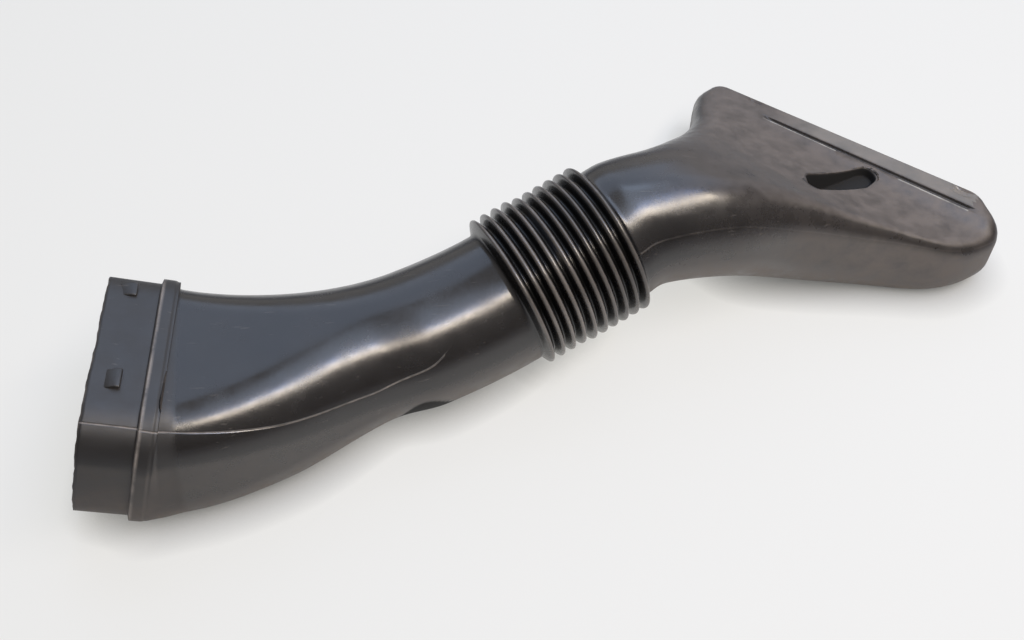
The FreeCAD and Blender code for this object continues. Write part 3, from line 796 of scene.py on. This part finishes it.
    # Relief: grit, the wavering wall and the raised flash, as heights in millimetres
    fine = add_node(tree, "ShaderNodeMath", {"operation": "MULTIPLY", 1: 0.02}, {0: grit.outputs["Fac"]})
    broad = add_node(tree, "ShaderNodeMath", {"operation": "MULTIPLY", 1: 1.1}, {0: wave.outputs["Fac"]})
    ridge = add_node(tree, "ShaderNodeMath", {"operation": "MULTIPLY", 1: 0.25}, {0: shown.outputs[0]})
    both = add_node(tree, "ShaderNodeMath", {"operation": "ADD"}, {0: fine.outputs[0], 1: broad.outputs[0]})
    height = add_node(tree, "ShaderNodeMath", {"operation": "ADD"}, {0: both.outputs[0], 1: ridge.outputs[0]})
    bump = add_node(tree, "ShaderNodeBump", {"Strength": 1.0, "Distance": 0.001},
                    {"Height": height.outputs[0]})
    shader = add_node(tree, "ShaderNodeBsdfPrincipled", {"IOR": 1.54, "Specular IOR Level": 0.62},
                      {"Base Color": finish.outputs[2], "Roughness": roughness.outputs[0],
                       "Normal": bump.outputs["Normal"]})
    add_node(tree, "ShaderNodeOutputMaterial", links={"Surface": shader.outputs[0]})
    return material


def shared_finish(context):
    """The duct's plastic, made once."""
    found = bpy.data.materials.get("worn_black_polyethylene")
    return found or polyethylene(context.scene.duct_colours)


class DUCT_OT_skin(bpy.types.Operator):
    """Build the duct's wall from its collar to its mouth"""
    bl_idname = "duct.skin"
    bl_label = "Build duct wall"

    def execute(self, context):
        verts, faces, values = duct_skin(context.scene.duct_sizes)
        piece = make_object("duct_wall", verts, faces, values)
        piece.data.materials.append(shared_finish(context))
        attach(piece, "root")
        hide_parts("intake_duct")
        return {"FINISHED"}


def barb_points(offset, side, width, rise):
    """Snap barb: a wedge that ramps up from the cut end and stops square, as eight corners."""
    across = np.array([0.0, 1.0, 0.0])
    up = np.cross(COLLAR_AXIS, across)
    base = COLLAR_END + COLLAR_AXIS * 6.5 + across * (offset - width / 2)
    low, high = COLLAR_HEIGHT / 2 - 1.0, COLLAR_HEIGHT / 2 + rise
    ramp = np.array([(0.0, low), (9.0, low), (9.0, high), (6.0, high)])
    ring = base + ramp[:, :1] * COLLAR_AXIS + ramp[:, 1:] * up * side
    return np.concatenate([ring, ring + across * width])


class DUCT_OT_barbs(bpy.types.Operator):
    """Build the snap barbs on the collar's broad walls"""
    bl_idname = "duct.barbs"
    bl_label = "Build snap barbs"

    def execute(self, context):
        verts, faces = [], []
        quads = np.array([(0, 1, 2, 3), (7, 6, 5, 4), (0, 4, 5, 1), (1, 5, 6, 2), (2, 6, 7, 3), (3, 7, 4, 0)])
        for offset, width, rise in BARBS:
            for side in (1, -1):
                quad = quads if side < 0 else quads[:, ::-1]
                faces.append(quad + 8 * len(verts))
                verts.append(barb_points(offset, side, width, rise))
        verts = np.concatenate(verts)
        values = {"station": np.full(len(verts), 14.0), "seam": np.full(len(verts), 30.0),
                  "lip": np.full(len(verts), 100.0)}
        piece = make_object("snap_barbs", verts, np.concatenate(faces), values)
        rounding = piece.modifiers.new("rounded edges", "BEVEL")
        rounding.width = 0.0008
        rounding.segments = 3
        piece.data.materials.append(shared_finish(context))
        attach(piece, "root")
        return {"FINISHED"}


def area_lamp(name, where, target, width, height, radiance, colour):
    """Rectangular lamp aimed at a point; its power is radiance times pi times its area."""
    lamp = bpy.data.lights.new(name, "AREA")
    lamp.shape = "RECTANGLE"
    lamp.size = width
    lamp.size_y = height
    lamp.energy = radiance * math.pi * width * height
    lamp.color = linear(colour)[:3]
    holder = bpy.data.objects.new(name, lamp)
    holder.location = where
    holder.rotation_euler = (Vector(target) - Vector(where)).to_track_quat("-Z", "Y").to_euler()
    bpy.context.scene.collection.objects.link(holder)
    return holder


class DUCT_OT_stage(bpy.types.Operator):
    """Lay the pale floor and set the lamps, the world and the camera"""
    bl_idname = "duct.stage"
    bl_label = "Set the stage"

    def execute(self, context):
        settings = context.scene.duct_stage
        side = FLOOR_HALF_SIZE
        mesh = bpy.data.meshes.new("floor")
        mesh.from_pydata([(-side, -side, 0), (side, -side, 0), (side, side, 0), (-side, side, 0)], [],
                         [(0, 1, 2, 3)])
        floor = bpy.data.objects.new("floor", mesh)
        context.scene.collection.objects.link(floor)
        material = bpy.data.materials.new("matt_paper_floor")
        material.use_nodes = True
        tree = material.node_tree
        tree.nodes.clear()
        # The eye and reflections see paper that glows, so its shadows stay pale. Ambient occlusion dims the
        # glow close beneath the object as a painted contact shadow, and in reflections the glow fades out 0.4
        # m away.
        path = add_node(tree, "ShaderNodeLightPath")
        spot = add_node(tree, "ShaderNodeTexCoord")
        far = add_node(tree, "ShaderNodeVectorMath", {"operation": "LENGTH"}, {0: spot.outputs["Object"]})
        fade = add_node(tree, "ShaderNodeMapRange",
                        {"From Min": 0.2, "From Max": 0.42, "To Min": 1.0, "To Max": 0.05},
                        {"Value": far.outputs["Value"]})
        mirrored = add_node(tree, "ShaderNodeMath", {"operation": "MULTIPLY"},
                            {0: path.outputs["Is Glossy Ray"], 1: fade.outputs[0]})
        glowing = add_node(tree, "ShaderNodeMath", {"operation": "MAXIMUM"},
                           {0: path.outputs["Is Camera Ray"], 1: mirrored.outputs[0]})
        seen = add_node(tree, "ShaderNodeMath", {"operation": "MAXIMUM"},
                        {0: path.outputs["Is Camera Ray"], 1: path.outputs["Is Glossy Ray"]})
        painted_contact_shadow = add_node(tree, "ShaderNodeAmbientOcclusion", {"samples": 6, "Distance": 0.02})
        contact_shadow_strength = add_node(tree, "ShaderNodeMath", {"operation": "POWER", 1: 0.8}, {0: painted_contact_shadow.outputs["AO"]})
        strength = add_node(tree, "ShaderNodeMath", {"operation": "MULTIPLY"},
                            {0: glowing.outputs[0], 1: contact_shadow_strength.outputs[0]})
        glow = add_node(tree, "ShaderNodeEmission", {"Color": linear(settings.floor_glow)},
                        {"Strength": strength.outputs[0]})
        shade = add_node(tree, "ShaderNodeBsdfDiffuse", {"Color": linear(settings.floor_shade)})
        paper = add_node(tree, "ShaderNodeBsdfDiffuse", {"Color": linear(settings.floor)})
        both = add_node(tree, "ShaderNodeAddShader", links={0: shade.outputs[0], 1: glow.outputs[0]})
        choice = add_node(tree, "ShaderNodeMixShader", links={0: seen.outputs[0], 1: paper.outputs[0],
                                                              2: both.outputs[0]})
        add_node(tree, "ShaderNodeOutputMaterial", links={"Surface": choice.outputs[0]})
        mesh.materials.append(material)
        area_lamp("sky_panel", (0.05, 0.85, 1.05), (0.0, 0.0, 0.05), 1.9, 1.0, 1.3, "#BCD3F6")
        area_lamp("skylight", (0.28, 0.02, 1.45), (0.1, 0.0, 0.05), 1.5, 0.55, 2.4, "#C6DAF8")
        area_lamp("window", (0.60, -0.44, 1.25), (0.0, 0.0, 0.05), 1.3, 0.25, 16.5, "#FFF0DC")
        area_lamp("blue_pane", (0.53, -0.24, 1.36), (0.0, 0.0, 0.05), 1.2, 0.16, 8.5, "#86A8E6")
        world = bpy.data.worlds.new("dim_room")
        context.scene.world = world
        world.use_nodes = True
        tree = world.node_tree
        tree.nodes.clear()
        sky = add_node(tree, "ShaderNodeTexCoord")
        aim = add_node(tree, "ShaderNodeSeparateXYZ", links={0: sky.outputs["Generated"]})
        lift = add_node(tree, "ShaderNodeMapRange",
                        {"From Min": 0.1, "From Max": 1.0, "To Min": 0.05, "To Max": 0.4},
                        {"Value": aim.outputs["Z"]})
        behind = add_node(tree, "ShaderNodeMapRange", {"From Min": 0.3, "From Max": 0.95, "To Max": 0.6},
                          {"Value": aim.outputs["Y"]})
        room = add_node(tree, "ShaderNodeMath", {"operation": "MAXIMUM"},
                        {0: lift.outputs[0], 1: behind.outputs[0]})
        walls = add_node(tree, "ShaderNodeBackground", {"Color": linear("#F4F1EE")},
                         {"Strength": room.outputs[0]})
        # The eye sees the paper go on behind the floor
        backdrop = add_node(tree, "ShaderNodeBackground",
                            {"Color": linear(settings.floor_glow), "Strength": 1.0})
        path = add_node(tree, "ShaderNodeLightPath")
        choice = add_node(tree, "ShaderNodeMixShader",
                          links={0: path.outputs["Is Camera Ray"], 1: walls.outputs[0],
                                                              2: backdrop.outputs[0]})
        add_node(tree, "ShaderNodeOutputWorld", links={"Surface": choice.outputs[0]})
        lens = bpy.data.cameras.new("photo_camera")
        lens.lens = settings.lens
        lens.sensor_width = 36.0
        camera = bpy.data.objects.new("photo_camera", lens)
        camera.location = settings.camera
        aim = Vector(settings.target) - Vector(settings.camera)
        camera.rotation_euler = aim.to_track_quat("-Z", "Y").to_euler()
        context.scene.collection.objects.link(camera)
        context.scene.camera = camera
        context.scene.view_settings.view_transform = "Standard"
        return {"FINISHED"}


class DUCT_PT_panel(bpy.types.Panel):
    """Sizes, colours and build steps of the duct"""
    bl_idname = "DUCT_PT_panel"
    bl_label = "Air intake duct"
    bl_space_type = "VIEW_3D"
    bl_region_type = "UI"
    bl_category = "Duct"

    def draw(self, context):
        layout = self.layout
        for group in (context.scene.duct_sizes, context.scene.duct_colours, context.scene.duct_stage):
            column = layout.column(align=True)
            for key in group.__annotations__:
                column.prop(group, key)
        for operator in ("duct.skin", "duct.barbs", "duct.stage"):
            layout.operator(operator)


CLASSES = (DuctSizes, DuctColours, StageSettings, DUCT_OT_skin, DUCT_OT_barbs, DUCT_OT_stage, DUCT_PT_panel)


def register():
    for item in CLASSES:
        bpy.utils.register_class(item)
    bpy.types.Scene.duct_sizes = PointerProperty(type=DuctSizes)
    bpy.types.Scene.duct_colours = PointerProperty(type=DuctColours)
    bpy.types.Scene.duct_stage = PointerProperty(type=StageSettings)


def unregister():
    del bpy.types.Scene.duct_stage
    del bpy.types.Scene.duct_colours
    del bpy.types.Scene.duct_sizes
    for item in reversed(CLASSES):
        bpy.utils.unregister_class(item)


def main():
    register()
    bpy.ops.duct.skin()
    bpy.ops.duct.barbs()
    bpy.ops.duct.stage()


if __name__ == "__main__":
    main()
